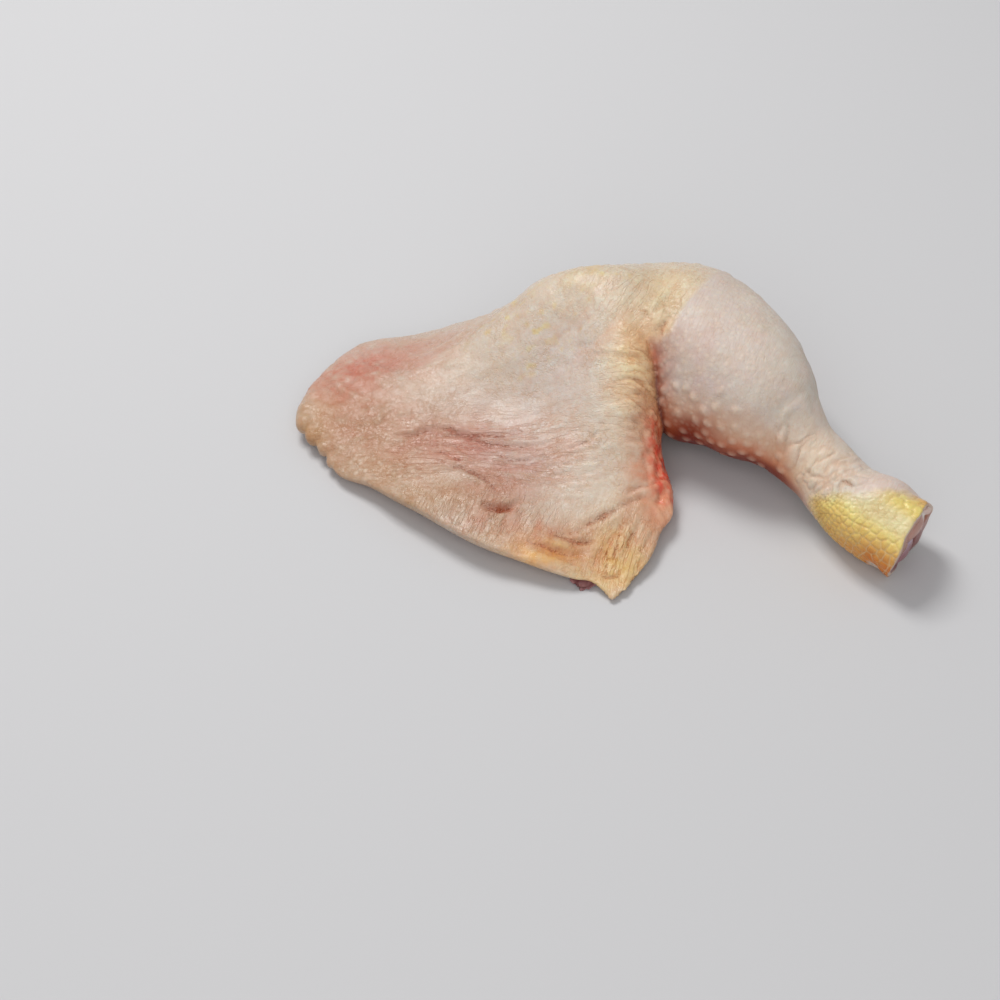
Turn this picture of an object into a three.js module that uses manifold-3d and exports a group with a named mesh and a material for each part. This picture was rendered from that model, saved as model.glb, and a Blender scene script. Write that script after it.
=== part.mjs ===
// A raw chicken leg with its skin on, laid flat: the thigh spreads out as a broad fan, the drumstick
// turns away across a deep crease, and the foot is cut off just below the hock.
//
// Millimetres, +Z up. The leg rests on z = 0 with the cut meat under its thigh and the end of its
// shank. The sizes below are measured from a point under the thigh and CENTRE moves the origin
// to the middle of the finished leg.

import * as THREE from "three";
import { mergeVertices } from "three/addons/utils/BufferGeometryUtils.js";
import Module from "manifold-3d";

const wasm = await Module();
wasm.setup();

// ---- Driving dimensions ----

const CENTRE = new THREE.Vector2(36.6, 22);
const FIT_GAP = 0.3; // left between flesh, meat and bone

// The thigh's edge, counter-clockwise from above, starting at the pointed corner of loose skin.
// Each point is x, y, height above the board, and fullness: how squarely the top rolls over there.
const THIGH_EDGE = [
  [37.2, -47.8, 1.6, 2.2],
  [40.8, -45.6, 2.2, 2.2],
  [44.6, -40.6, 3, 2.4],
  [51.5, -30, 4.5, 3],
  [55, -20, 5.5, 3.5],
  [58.8, -14, 6, 3.5],
  [59.8, -7, 6.5, 4],
  [59.2, 0, 8, 4.5],
  [57, 8, 11, 6],
  [56.5, 17, 15, 8],
  [60.5, 30, 20, 8],
  [68, 43, 22, 6],
  [72, 56, 22, 4],
  [69, 70, 22, 3.5],
  [57, 81, 21, 3.5],
  [38, 89.5, 21, 4.5],
  [16, 91.5, 19, 6],
  [3, 84, 13, 4],
  [-22, 79, 9, 3],
  [-40, 75, 8, 2.8],
  [-52, 72, 7.5, 2.6],
  [-61, 62, 7, 2.6],
  [-68, 51, 7, 2.6],
  [-71.5, 42, 6.5, 2.6],
  [-72.5, 34, 6, 2.6],
  [-68, 26.5, 5.5, 2.6],
  [-62, 18.5, 5, 2.6],
  [-56.5, 8, 4.5, 2.6],
  [-46, 1, 7, 3],
  [-37, -7, 9, 3],
  [-28, -14, 10, 3],
  [-16, -24, 11, 3],
  [-6, -30, 9.8, 3],
  [6, -35, 8.4, 2.9],
  [17, -39, 6.4, 2.7],
  [25, -41, 4.8, 2.4],
  [30.5, -41.2, 3.6, 2.2],
  [34.6, -44.6, 2.4, 2.2],
];
const THIGH_MIDDLE = new THREE.Vector2(8, 26); // the point that the whole edge can be seen from
const THIGH_HEIGHT = 10.5; // of the flat skin between the mounds
const EVEN_HEIGHT = 9; // the edge's height and fullness, as the middle of the thigh takes them
const EVEN_FULLNESS = 3;
const EVEN_SHARES = [0.08, 0.6]; // shares of the way out between which the edge's own take over
// Swellings of the flesh under the skin: x, y, spread in x, spread in y, height.
const THIGH_MOUNDS = [
  [56, 62, 30, 26, 17], // the knee
  [16, 62, 34, 26, 27], // the thick far side
  [37, 69, 20, 17, 9],
  [46, 30, 25, 28, 25.5], // beside the crease
  [-40, 44, 30, 26, 5.5],
  [0, 4, 40, 22, 4],
  [38, -46, 22, 20, -6], // the thin loose corner
];
const TOP_ROUNDNESS = 1.8; // exponent of the rise from the edge to the top
const UNDERSIDE_FULLNESS = 6;
const UNDERSIDE_ROUNDNESS = 2;

// The drumstick from the knee to past the hock: x, y, height of its middle, half width, half height.
const DRUMSTICK = [
  [59, 64, 24.6, 22.5, 21],
  [69, 55, 27, 26.2, 24.2],
  [77.8, 39.3, 27.4, 27.6, 24.8],
  [86, 26.8, 26.8, 23.6, 23.4],
  [92.4, 19.4, 24.6, 18.2, 19.6],
  [98, 13, 21.8, 14.6, 15.8],
  [102.2, 7.6, 19.2, 12.8, 13.5],
  [106.6, 2.8, 17.2, 12.2, 12.5],
  [111.8, -3.2, 15.6, 12.2, 12.4],
  [117.8, -11, 13.9, 13, 12.9],
  [125, -19.6, 13.3, 14, 13],
  [136, -30, 13, 14.6, 13],
  [146, -40, 12.9, 14.6, 12.9],
];
const KNEE_END = 21; // how far the drumstick's rounded head reaches back into the thigh
// Round swellings on it, middle and half sizes: the knee cap, the front of the knee, the belly
// beside the crease and the back of the hock.
const SWELLINGS = [
  { at: [47, 58.5, 30], half: [17, 20.5, 19.5] },
  { at: [52.5, 46, 28.5], half: [13, 14.5, 20] },
  { at: [66, 28.5, 20], half: [13.5, 13.5, 15.5] },
  { at: [128.3, -18.4, 18], half: [10, 8.5, 9.2] },
];

// The saw cut below the hock.
const CUT_POINT = new THREE.Vector3(137.8, -31, 13);
const CUT_NORMAL = new THREE.Vector3(0.83, -0.54, -0.15).normalize();
const CUT_BLOCK = 80;

// The shank bone inside the drumstick, same form of stations, and the two knuckles of its end.
const SHANK_BONE = [
  [86, 26, 25, 5.5, 5.5],
  [97, 11.6, 21, 4.8, 4.8],
  [105.3, 1.8, 17, 4.8, 4.8],
  [117.5, -11.3, 13.9, 5.6, 5.6],
  [126, -20.4, 13.3, 7.2, 7.2],
  [131.5, -25.4, 13.1, 8, 8],
];
const BONE_TIP = 8;
const KNUCKLE_HALF = new THREE.Vector3(10, 6.2, 5.7); // along the cut's side, its normal and up
const KNUCKLE_SET_BACK = 5.2; // of the knuckles' centres behind the cut
const KNUCKLE_DROP = 0.6;
const KNUCKLE_SPREAD = new THREE.Vector3(1.45, 0.91, 4.5); // from the end's middle to each centre
// The sinew beside the upper knuckle, from inside the shank to its stump.
const SINEW = { from: [134, -24, 19.4], to: [142.9, -24.9, 20.8], radius: 1.3 };

// The cut meat under the thigh, and the shred of it that shows below the skin near the corner.
const MEAT_REACH = 0.86; // share of the way from the middle to the skin's edge
const MEAT_SHARE = 0.4; // share of the thigh's height
const MEAT_FULLNESS = 3;
const SHRED = { at: [28.5, -37, 1], half: [6, 6.8, 1] };

// Steps round and along each shape.
const THIGH_STEPS = { around: 88, top: 12, under: 5 };
const DRUMSTICK_STEPS = { around: 32, along: 32 };
const MEAT_STEPS = { around: 56, top: 6, under: 2 };
const BONE_STEPS = { around: 14, along: 14 };
const BALL_STEPS = { around: 18, along: 12 };

// ---- Solids from geometries ----

function solidOf(geometry) {
  const bare = new THREE.BufferGeometry();
  bare.setAttribute("position", geometry.getAttribute("position"));
  bare.setIndex(geometry.index);
  const merged = mergeVertices(bare, 1e-4);
  return new wasm.Manifold(
    new wasm.Mesh({
      numProp: 3,
      vertProperties: merged.getAttribute("position").array,
      triVerts: new Uint32Array(merged.index.array),
    }),
  );
}

function geometryOf(solid) {
  const mesh = solid.getMesh();
  const geometry = new THREE.BufferGeometry();
  geometry.setAttribute("position", new THREE.BufferAttribute(mesh.vertProperties, 3));
  geometry.setIndex(new THREE.BufferAttribute(mesh.triVerts, 1));
  return geometry;
}

// A ball of rings whose every vertex is moved to place(turn, ring): turn goes from 0 to 1 round the
// ring, counter-clockwise from outside the first pole, and ring counts from that pole.
function mouldedBall(around, rings, place) {
  const geometry = new THREE.SphereGeometry(1, around, rings);
  const position = geometry.getAttribute("position");
  for (let ring = 0; ring <= rings; ring++) {
    for (let step = 0; step <= around; step++) {
      const point = place((step % around) / around, ring);
      position.setXYZ(ring * (around + 1) + step, point.x, point.y, point.z);
    }
  }
  return solidOf(geometry);
}

// An ellipsoid with its half sizes along x, y and z, or along the axes of a turn.
function ellipsoid(at, half, turn = new THREE.Matrix4()) {
  const ball = new THREE.SphereGeometry(1, BALL_STEPS.around, BALL_STEPS.along);
  ball.scale(...half);
  ball.applyMatrix4(turn);
  return solidOf(ball.translate(...at));
}

// ---- The thigh's surface ----

const edgeCurve = new THREE.CatmullRomCurve3(
  THIGH_EDGE.map(([x, y, z]) => new THREE.Vector3(x, y, z)),
  true,
  "catmullrom",
);
const fullnessCurve = new THREE.CatmullRomCurve3(
  THIGH_EDGE.map(([, , , fullness]) => new THREE.Vector3(fullness, 0, 0)),
  true,
  "catmullrom",
);

function edgeAt(turn) {
  const along = edgeCurve.getUtoTmapping(turn);
  return { point: edgeCurve.getPoint(along), fullness: fullnessCurve.getPoint(along).x };
}

function ease(value, low, high) {
  const t = Math.min(Math.max((value - low) / (high - low), 0), 1);
  return t * t * (3 - 2 * t);
}

// How far the mounds carry the skin above the height of the edge, never quite nothing.
function riseAbove(edgeHeight, x, y) {
  let height = THIGH_HEIGHT - edgeHeight;
  for (const [moundX, moundY, spreadX, spreadY, rise] of THIGH_MOUNDS) {
    height += rise * Math.exp(-(((x - moundX) / spreadX) ** 2) - ((y - moundY) / spreadY) ** 2);
  }
  return 0.5 * (height + Math.hypot(height, 0.5 * edgeHeight));
}

// Height of the skin above the board at a share of the way from the middle to the edge.
function skinHeight(edge, share, x, y) {
  const own = ease(share, ...EVEN_SHARES);
  const height = EVEN_HEIGHT + own * (edge.point.z - EVEN_HEIGHT);
  const fullness = EVEN_FULLNESS + own * (edge.fullness - EVEN_FULLNESS);
  const rise = (1 - Math.min(share, 1) ** fullness) ** (1 / TOP_ROUNDNESS);
  return height + riseAbove(height, x, y) * rise;
}

// Points of the curve share^fullness + rise^roundness = 1 from its top down to its edge, at even
// steps along its length when it is drawn reach wide and height tall.
function evenProfile(fullness, roundness, reach, height, steps) {
  const samples = 160;
  const points = [];
  let length = 0;
  for (let i = 0; i <= samples; i++) {
    const angle = (i / samples) * (Math.PI / 2);
    const share = Math.sin(angle) ** (2 / fullness);
    const rise = Math.cos(angle) ** (2 / roundness);
    if (i > 0) {
      const last = points[i - 1];
      length += Math.hypot((share - last.share) * reach, (rise - last.rise) * height);
    }
    points.push({ share, rise, length });
  }
  const even = [];
  let next = 0;
  for (let step = 0; step <= steps; step++) {
    while (next < samples && points[next].length < (length * step) / steps) next++;
    even.push(points[next]);
  }
  even[0] = { share: 0, rise: 1 };
  even[steps] = { share: 1, rise: 0 };
  return even;
}

function fromMiddle(edge, share) {
  const x = THIGH_MIDDLE.x + (edge.point.x - THIGH_MIDDLE.x) * share;
  const y = THIGH_MIDDLE.y + (edge.point.y - THIGH_MIDDLE.y) * share;
  return new THREE.Vector3(x, y, 0);
}

function makeThigh() {
  const { around, top, under } = THIGH_STEPS;
  return mouldedBall(around, top + under, (turn, ring) => {
    const edge = edgeAt(turn);
    const reach = fromMiddle(edge, 1).distanceTo(fromMiddle(edge, 0));
    if (ring <= top) {
      const { share } = evenProfile(edge.fullness, TOP_ROUNDNESS, reach, THIGH_HEIGHT * 2, top)[ring];
      const point = fromMiddle(edge, share);
      return point.setZ(skinHeight(edge, share, point.x, point.y));
    }
    const profile = evenProfile(UNDERSIDE_FULLNESS, UNDERSIDE_ROUNDNESS, reach, edge.point.z, under);
    const { share, rise } = profile[top + under - ring];
    return fromMiddle(edge, share).setZ(edge.point.z * (1 - rise));
  });
}

// ---- Lofts along the leg ----

// A closed loft through elliptical stations. Its first end is a dome that reaches tip back from the
// first station, its last end is flat, and grow swells all of it.
function loft(stations, tip, steps, grow = 0) {
  const path = new THREE.CatmullRomCurve3(
    stations.map(([x, y, z]) => new THREE.Vector3(x, y, z)),
    false,
    "catmullrom",
  );
  const halves = new THREE.CatmullRomCurve3(
    stations.map(([, , , width, height]) => new THREE.Vector3(width, height, 0)),
    false,
    "catmullrom",
  );
  const domeSteps = Math.round(steps.along / 5);
  const lastRing = steps.along;
  return mouldedBall(steps.around, lastRing, (turn, ring) => {
    const along = Math.max(0, (ring - domeSteps) / (lastRing - 1 - domeSteps));
    const t = Math.min(along, 1);
    const centre = path.getPoint(t);
    const forward = path.getTangent(t);
    const side = new THREE.Vector3().crossVectors(forward, new THREE.Vector3(0, 0, 1)).normalize();
    const up = new THREE.Vector3().crossVectors(side, forward);
    const half = halves.getPoint(t);
    const domeAngle = (Math.min(ring / domeSteps, 1) * Math.PI) / 2;
    const spread = ring === lastRing ? 0 : Math.sin(domeAngle);
    centre.addScaledVector(forward, -(tip + grow) * Math.cos(domeAngle));
    centre.addScaledVector(side, (half.x + grow) * spread * Math.cos(turn * 2 * Math.PI));
    return centre.addScaledVector(up, (half.y + grow) * spread * Math.sin(turn * 2 * Math.PI));
  });
}

// ---- Bone ----

const CUT_SIDE = new THREE.Vector3().crossVectors(CUT_NORMAL, new THREE.Vector3(0, 0, 1)).normalize();
const CUT_UP = new THREE.Vector3().crossVectors(CUT_SIDE, CUT_NORMAL);
const CUT_TURN = new THREE.Matrix4().makeBasis(CUT_SIDE, CUT_NORMAL, CUT_UP);

function knuckle(sign, grow) {
  const centre = CUT_POINT.clone()
    .addScaledVector(CUT_NORMAL, -KNUCKLE_SET_BACK)
    .addScaledVector(KNUCKLE_SPREAD, sign);
  centre.z -= KNUCKLE_DROP;
  return ellipsoid(centre, KNUCKLE_HALF.clone().addScalar(grow), CUT_TURN);
}

function makeSinew(grow) {
  const from = new THREE.Vector3(...SINEW.from);
  const to = new THREE.Vector3(...SINEW.to);
  const length = from.distanceTo(to);
  const rod = new THREE.CapsuleGeometry(SINEW.radius + grow, length, 3, 10);
  const turn = new THREE.Quaternion().setFromUnitVectors(
    new THREE.Vector3(0, 1, 0),
    to.clone().sub(from).normalize(),
  );
  rod.applyQuaternion(turn);
  const middle = from.add(to).multiplyScalar(0.5);
  return solidOf(rod.translate(middle.x, middle.y, middle.z));
}

function makeBone(grow = 0) {
  return loft(SHANK_BONE, BONE_TIP, BONE_STEPS, grow)
    .add(knuckle(1, grow))
    .add(knuckle(-1, grow))
    .add(makeSinew(grow));
}

// ---- Meat ----

// Flat below on the board, or bulging below it when it is grown to cut its own bed in the thigh.
function makeMeat(grow = 0) {
  const { around, top, under } = MEAT_STEPS;
  const slab = mouldedBall(around, top + under, (turn, ring) => {
    const edge = edgeAt(turn);
    const reach = fromMiddle(edge, 1).distanceTo(fromMiddle(edge, 0));
    const meatReach = MEAT_REACH + grow / reach;
    const angle = (ring / top) * (Math.PI / 2);
    if (ring <= top) {
      const share = Math.sin(angle) ** (2 / MEAT_FULLNESS);
      const point = fromMiddle(edge, share * meatReach);
      const skin = skinHeight(edge, share * meatReach, point.x, point.y);
      return point.setZ((skin * MEAT_SHARE + grow) * Math.cos(angle));
    }
    const share = (top + under - ring) / under;
    return fromMiddle(edge, share * meatReach).setZ(-grow * (1 - share) * 4);
  });
  return slab.add(ellipsoid(SHRED.at, SHRED.half.map((size) => size + grow)));
}

// ---- The leg ----

function makeCutBlock() {
  const block = new THREE.BoxGeometry(CUT_BLOCK, CUT_BLOCK, CUT_BLOCK);
  block.translate(0, 0, CUT_BLOCK / 2);
  const turn = new THREE.Quaternion().setFromUnitVectors(new THREE.Vector3(0, 0, 1), CUT_NORMAL);
  block.applyQuaternion(turn);
  return solidOf(block.translate(CUT_POINT.x, CUT_POINT.y, CUT_POINT.z));
}

function makeLeg() {
  let flesh = makeThigh().add(loft(DRUMSTICK, KNEE_END, DRUMSTICK_STEPS));
  for (const { at, half } of SWELLINGS) {
    flesh = flesh.add(ellipsoid(at, half));
  }
  return flesh
    .subtract(makeCutBlock())
    .subtract(makeMeat(FIT_GAP))
    .subtract(makeBone(FIT_GAP));
}

// ---- The finished part ----

const chickenLeg = new THREE.Group();
chickenLeg.position.set(-CENTRE.x, -CENTRE.y, 0);

function addPiece(name, solid, colour, roughness) {
  const material = new THREE.MeshStandardMaterial({ color: colour, roughness, metalness: 0 });
  const mesh = new THREE.Mesh(geometryOf(solid), material);
  mesh.name = name;
  chickenLeg.add(mesh);
}

addPiece("leg", makeLeg(), 0xdcbfae, 0.45);
addPiece("thigh_meat", makeMeat(), 0xb5656a, 0.4);
addPiece("shank_bone", makeBone(), 0xd3b9c4, 0.35);

const part = new THREE.Group();
part.add(chickenLeg);

export default part;
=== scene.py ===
import itertools
import math

import bmesh
import bpy
import numpy as np
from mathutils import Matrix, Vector, kdtree


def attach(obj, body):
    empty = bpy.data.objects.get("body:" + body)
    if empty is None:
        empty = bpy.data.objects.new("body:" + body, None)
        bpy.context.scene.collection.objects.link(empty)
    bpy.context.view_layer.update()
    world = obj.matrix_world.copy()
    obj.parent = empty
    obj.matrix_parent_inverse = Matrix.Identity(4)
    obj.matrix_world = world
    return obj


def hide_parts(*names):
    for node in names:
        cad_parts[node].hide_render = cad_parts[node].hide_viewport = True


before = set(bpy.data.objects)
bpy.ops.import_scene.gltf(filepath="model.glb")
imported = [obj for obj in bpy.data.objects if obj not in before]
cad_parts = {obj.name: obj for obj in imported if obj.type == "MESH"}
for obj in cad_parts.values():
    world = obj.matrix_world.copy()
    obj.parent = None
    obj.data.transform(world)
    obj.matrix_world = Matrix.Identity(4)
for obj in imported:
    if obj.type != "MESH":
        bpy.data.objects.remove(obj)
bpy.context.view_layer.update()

MM = 0.001

# ---- Table, lights and camera ----
# A pale matt table, one broad soft light high behind the leg, a weak one from the front left, and
# a camera that looks down on the leg as a cook would, 46 degrees above the table.

LOOK_DOWN = math.radians(46)
CAMERA_AWAY = 0.809
FOCAL_LENGTH = 83.6
SENSOR = 36.0
AIM = Vector((-0.0366, -0.022, 0.0))

camera_data = bpy.data.cameras.new("camera")
camera_data.lens = FOCAL_LENGTH
camera_data.sensor_width = SENSOR
camera_data.clip_start = 0.01
camera = bpy.data.objects.new("camera", camera_data)
back = Vector((0, -math.cos(LOOK_DOWN), math.sin(LOOK_DOWN)))
camera.location = AIM + back * CAMERA_AWAY
camera.rotation_euler = (math.pi / 2 - LOOK_DOWN, 0, 0)
bpy.context.collection.objects.link(camera)
bpy.context.scene.camera = camera

table_mesh = bpy.data.meshes.new("table")
TABLE_HALF = 3.0
table_mesh.from_pydata(
    [(x * TABLE_HALF, y * TABLE_HALF, 0) for x, y in ((-1, -1), (1, -1), (1, 1), (-1, 1))],
    [],
    [(0, 1, 2, 3)],
)
table = bpy.data.objects.new("table", table_mesh)
bpy.context.collection.objects.link(table)


def new_finish(name):
    """A material, its nodes, its links and its shader."""
    finish = bpy.data.materials.new(name)
    finish.use_nodes = True
    nodes = finish.node_tree.nodes
    return finish, nodes, finish.node_tree.links, nodes["Principled BSDF"]


def set_inputs(node, values):
    for name, value in values.items():
        node.inputs[name].default_value = value


table_finish, _, _, table_shader = new_finish("pale_table")
set_inputs(table_shader, {"Base Color": (0.61, 0.61, 0.62, 1), "Roughness": 0.9})
table_mesh.materials.append(table_finish)


def add_light(name, place, size, power, colour):
    data = bpy.data.lights.new(name, "AREA")
    data.shape = "SQUARE"
    data.size = size
    data.energy = power
    data.color = colour
    light = bpy.data.objects.new(name, data)
    light.location = place
    light.rotation_euler = (AIM - light.location).to_track_quat("-Z", "Y").to_euler()
    bpy.context.collection.objects.link(light)


add_light("window_behind", Vector((-0.35, 0.48, 1.0)), 0.45, 8.2, (1.0, 0.99, 0.98))
add_light("front_fill", Vector((-0.1, -1.0, 0.8)), 1.2, 5.6, (1.0, 0.99, 0.98))
room = bpy.data.worlds.new("room")
room.use_nodes = True
set_inputs(room.node_tree.nodes["Background"], {"Color": (0.98, 0.985, 1.0, 1), "Strength": 0.37})
bpy.context.scene.world = room
bpy.context.scene.view_settings.view_transform = "Standard"

# ---- The leg's form ----
# Flesh under one skin: a thigh that spreads as a fan to thin loose edges, and a drumstick that
# leaves it across a deep crease. The form is a field that is zero on the skin, made of the thigh's
# rolled-over fan and a tube along the drumstick, run together softly at the knee. Millimetres.

CENTRE = np.array((36.6, 22.0, 0.0))  # the middle of the leg, in the frame of the sizes below

# Edge of the thigh, counter-clockwise: x, y, height above the table, how squarely the top rolls over.
THIGH_EDGE = np.array([
    (37.2, -47.8, 1.6, 2.2), (40.8, -45.6, 2.2, 2.2), (44.6, -40.6, 3, 2.4), (51.5, -30, 4.5, 3),
    (55, -20, 5.5, 3.5), (58.8, -14, 6, 3.5), (59.8, -7, 6.5, 4), (59.2, 0, 8, 4.5), (57, 8, 11, 6),
    (56.5, 17, 15, 8), (60.5, 30, 20, 8), (68, 43, 22, 6), (72, 56, 22, 4), (69, 70, 22, 3.5),
    (57, 81, 21, 3.5), (38, 89.5, 21, 4.5), (16, 91.5, 19, 6), (3, 84, 13, 4), (-22, 79, 9, 3),
    (-40, 75, 8, 2.8), (-52, 72, 7.5, 2.6), (-61, 62, 7, 2.6), (-68, 51, 7, 2.6), (-71.5, 42, 6.5, 2.6),
    (-72.5, 34, 6, 2.6), (-68, 26.5, 5.5, 2.6), (-62, 18.5, 5, 2.6), (-56.5, 8, 4.5, 2.6), (-46, 1, 7, 3),
    (-37, -7, 9, 3), (-28, -14, 10, 3), (-16, -24, 11, 3), (-6, -30, 9.8, 3), (6, -35, 8.4, 2.9),
    (17, -39, 6.4, 2.7), (25, -41, 4.8, 2.4), (30.5, -41.2, 3.6, 2.2), (34.6, -44.6, 2.4, 2.2),
])
THIGH_MIDDLE = (8, 26)
THIGH_HEIGHT = 10.5
EVEN_HEIGHT = 9
EVEN_FULLNESS = 3
# Swellings of the flesh: x, y, spread in x, spread in y, height.
THIGH_MOUNDS = (
    (56, 62, 30, 26, 17), (16, 62, 34, 26, 27), (37, 69, 20, 17, 9), (46, 30, 25, 28, 25.5),
    (-40, 44, 30, 26, 5.5), (0, 4, 40, 22, 4), (38, -46, 22, 20, -6),
)
TOP_ROUNDNESS = 1.8
UNDER_FULLNESS = 6
UNDER_ROUNDNESS = 2

# Stations of the drumstick from the knee past the hock: x, y, middle's height, half width and height.
DRUMSTICK = np.array([
    (59, 64, 24.6, 22.5, 21), (69, 55, 27, 26.2, 24.2), (77.8, 39.3, 27.4, 27.6, 24.8),
    (86, 26.8, 26.8, 23.6, 23.4), (92.4, 19.4, 24.6, 18.2, 19.6), (98, 13, 21.8, 14.6, 15.8),
    (102.2, 7.6, 19.2, 12.8, 13.5), (106.6, 2.8, 17.2, 12.2, 12.5), (111.8, -3.2, 15.6, 12.2, 12.4),
    (117.8, -11, 13.9, 13, 12.9), (125, -19.6, 13.3, 14, 13), (136, -30, 13, 14.6, 13),
    (146, -40, 12.9, 14.6, 12.9),
])
# Swellings on it, middle and half sizes: the knee cap, the front of the knee, the belly beside the
# crease and the back of the hock.
KNEE_CAP = np.array(((47, 58.5, 30), (16.5, 20, 19)))
KNEE_FRONT = np.array(((52.5, 46, 28.5), (12.5, 14, 19.5)))
BELLY = np.array(((66, 28.5, 20), (13, 13, 15)))
HOCK = np.array(((128.3, -18.4, 18), (9.5, 8, 8.7)))
LUMP_BLEND = 5
RAGGED = 0.8
# Round beads of fat along the loose left edge: middle and radius.
FAT_BEADS = (
    (-67, 44, 6.5, 2.6), (-68.9, 38.5, 6, 2.8), (-69.3, 32, 5.5, 3.3), (-65.8, 26, 5, 3),
    (-61.8, 20.4, 4.5, 2.4), (-63.6, 50.5, 6.5, 2.2), (-59, 14.5, 4, 2),
)
BEAD_BLEND = 1.6
CREASE_BLEND = 0.7
KNEE_BLEND = 8.5
CUT_POINT = np.array((137.8, -31, 13))
CUT_NORMAL = np.array((0.83, -0.54, -0.15)) / math.hypot(0.83, 0.54, 0.15)


def smooth_path(points, steps, closed=False):
    """Catmull-Rom curve through rows of numbers, with so many steps to each stretch."""
    if closed:
        before, after, beyond = (np.roll(points, shift, 0) for shift in (1, -1, -2))
        start = points
    else:
        start, after = points[:-1], points[1:]
        before = np.vstack([2 * points[0] - points[1], points[:-2]])
        beyond = np.vstack([points[2:], 2 * points[-1] - points[-2]])
    curve = []
    for t in np.arange(steps) / steps:
        curve.append(
            0.5 * (
                2 * start
                + (after - before) * t
                + (2 * before - 5 * start + 4 * after - beyond) * t**2
                + (3 * start - before - 3 * after + beyond) * t**3
            )
        )
    path = np.stack(curve, 1).reshape(-1, points.shape[1])
    return path if closed else np.vstack([path, points[-1:]])


def soft_union(a, b, blend):
    share = np.clip(0.5 + 0.5 * (b - a) / blend, 0, 1)
    return b * (1 - share) + a * share - blend * share * (1 - share)


def soft_cut(body, cutter, blend):
    """The body without the cutter, with the edge between them rounded off."""
    return -soft_union(-body, cutter, blend)


def ease(value, low, high):
    """0 below low, 1 above high and a smooth rise between."""
    t = np.clip((value - low) / (high - low), 0, 1)
    return t * t * (3 - 2 * t)


rim = smooth_path(THIGH_EDGE, 8, closed=True)
rim_offset = rim[:, :2] - THIGH_MIDDLE
rim_angle = np.arctan2(rim_offset[:, 1], rim_offset[:, 0])
rim = rim[np.argsort(rim_angle)]
rim_reach = np.hypot(rim[:, 0] - THIGH_MIDDLE[0], rim[:, 1] - THIGH_MIDDLE[1])
rim_angle = np.sort(rim_angle)
FULL_TURN = 2 * math.pi


def edge_at(x, y):
    """Share of the way from the thigh's middle to its edge, and the edge's height and fullness there."""
    angle = np.arctan2(y - THIGH_MIDDLE[1], x - THIGH_MIDDLE[0])
    reach = np.interp(angle, rim_angle, rim_reach, period=FULL_TURN)
    share = np.hypot(x - THIGH_MIDDLE[0], y - THIGH_MIDDLE[1]) / reach
    # Near the middle every direction agrees, so that the field has no seam there.
    own = ease(share, 0.08, 0.6)
    height = EVEN_HEIGHT + own * (np.interp(angle, rim_angle, rim[:, 2], period=FULL_TURN) - EVEN_HEIGHT)
    fullness = np.interp(angle, rim_angle, rim[:, 3], period=FULL_TURN)
    return share, height, EVEN_FULLNESS + own * (fullness - EVEN_FULLNESS)


def rise_above(edge_height, x, y):
    """How far the mounds carry the skin above the height of the edge, never quite nothing."""
    height = THIGH_HEIGHT - edge_height
    for mound_x, mound_y, spread_x, spread_y, rise in THIGH_MOUNDS:
        away = ((x - mound_x) / spread_x) ** 2 + ((y - mound_y) / spread_y) ** 2
        height = height + rise * np.exp(-away)
    return 0.5 * (height + np.hypot(height, 0.5 * edge_height))


def bulge(share, fullness):
    """A power of the share, over its exponent, that goes on as a straight slope past the edge."""
    return np.where(share < 1, np.minimum(share, 1) ** fullness / fullness, share - 1 + 1 / fullness)


def thigh_level(points):
    x, y, z = points.T
    share, edge_height, fullness = edge_at(x, y)
    above = z > edge_height
    rise = np.where(
        above,
        (z - edge_height) / rise_above(edge_height, x, y),
        (edge_height - z) / np.maximum(edge_height, 0.5),
    )
    top = bulge(share, fullness) + (np.abs(rise) ** TOP_ROUNDNESS - 1) / fullness
    under = bulge(share, UNDER_FULLNESS) + (np.abs(rise) ** UNDER_ROUNDNESS - 1) / UNDER_FULLNESS
    return np.where(above, top, under)


def as_distance(level, points, limit=12.0):
    """Turns a level into millimetres by dividing it by its slope."""
    here = level(points)
    step = 0.2
    slope = np.sqrt(sum(((level(points + step * axis) - here) / step) ** 2 for axis in np.eye(3)))
    return np.clip(here / np.maximum(slope, 1e-4), -limit, limit)


def tube_field(points, path):
    """Distance from a tube of round-ended elliptical sections, roughly in millimetres."""
    nearest = np.full(len(points), 1e9)
    for start, end in zip(path[:-1], path[1:]):
        run = end[:3] - start[:3]
        t = np.clip((points - start[:3]) @ run / (run @ run), 0, 1)
        offset = points - start[:3] - t[:, None] * run
        half_width = start[3] + t * (end[3] - start[3])
        half_height = start[4] + t * (end[4] - start[4])
        sideways = (offset[:, 0] ** 2 + offset[:, 1] ** 2) / half_width**2
        level = np.sqrt(sideways + (offset[:, 2] / half_height) ** 2)
        nearest = np.minimum(nearest, (level - 1) * np.minimum(half_width, half_height))
    return nearest


drumstick_path = smooth_path(DRUMSTICK, 4)


def ball_field(points, middle, half, axes=np.eye(3)):
    """Distance from an ellipsoid whose half sizes lie along the rows of axes, roughly."""
    return (np.linalg.norm((points - middle) @ axes.T / half, axis=1) - 1) * np.min(half)


def drumstick_field(points):
    field = tube_field(points, drumstick_path)
    for middle, half in (KNEE_CAP, KNEE_FRONT, BELLY, HOCK):
        field = soft_union(field, ball_field(points, middle, half), LUMP_BLEND)
    return field


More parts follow.
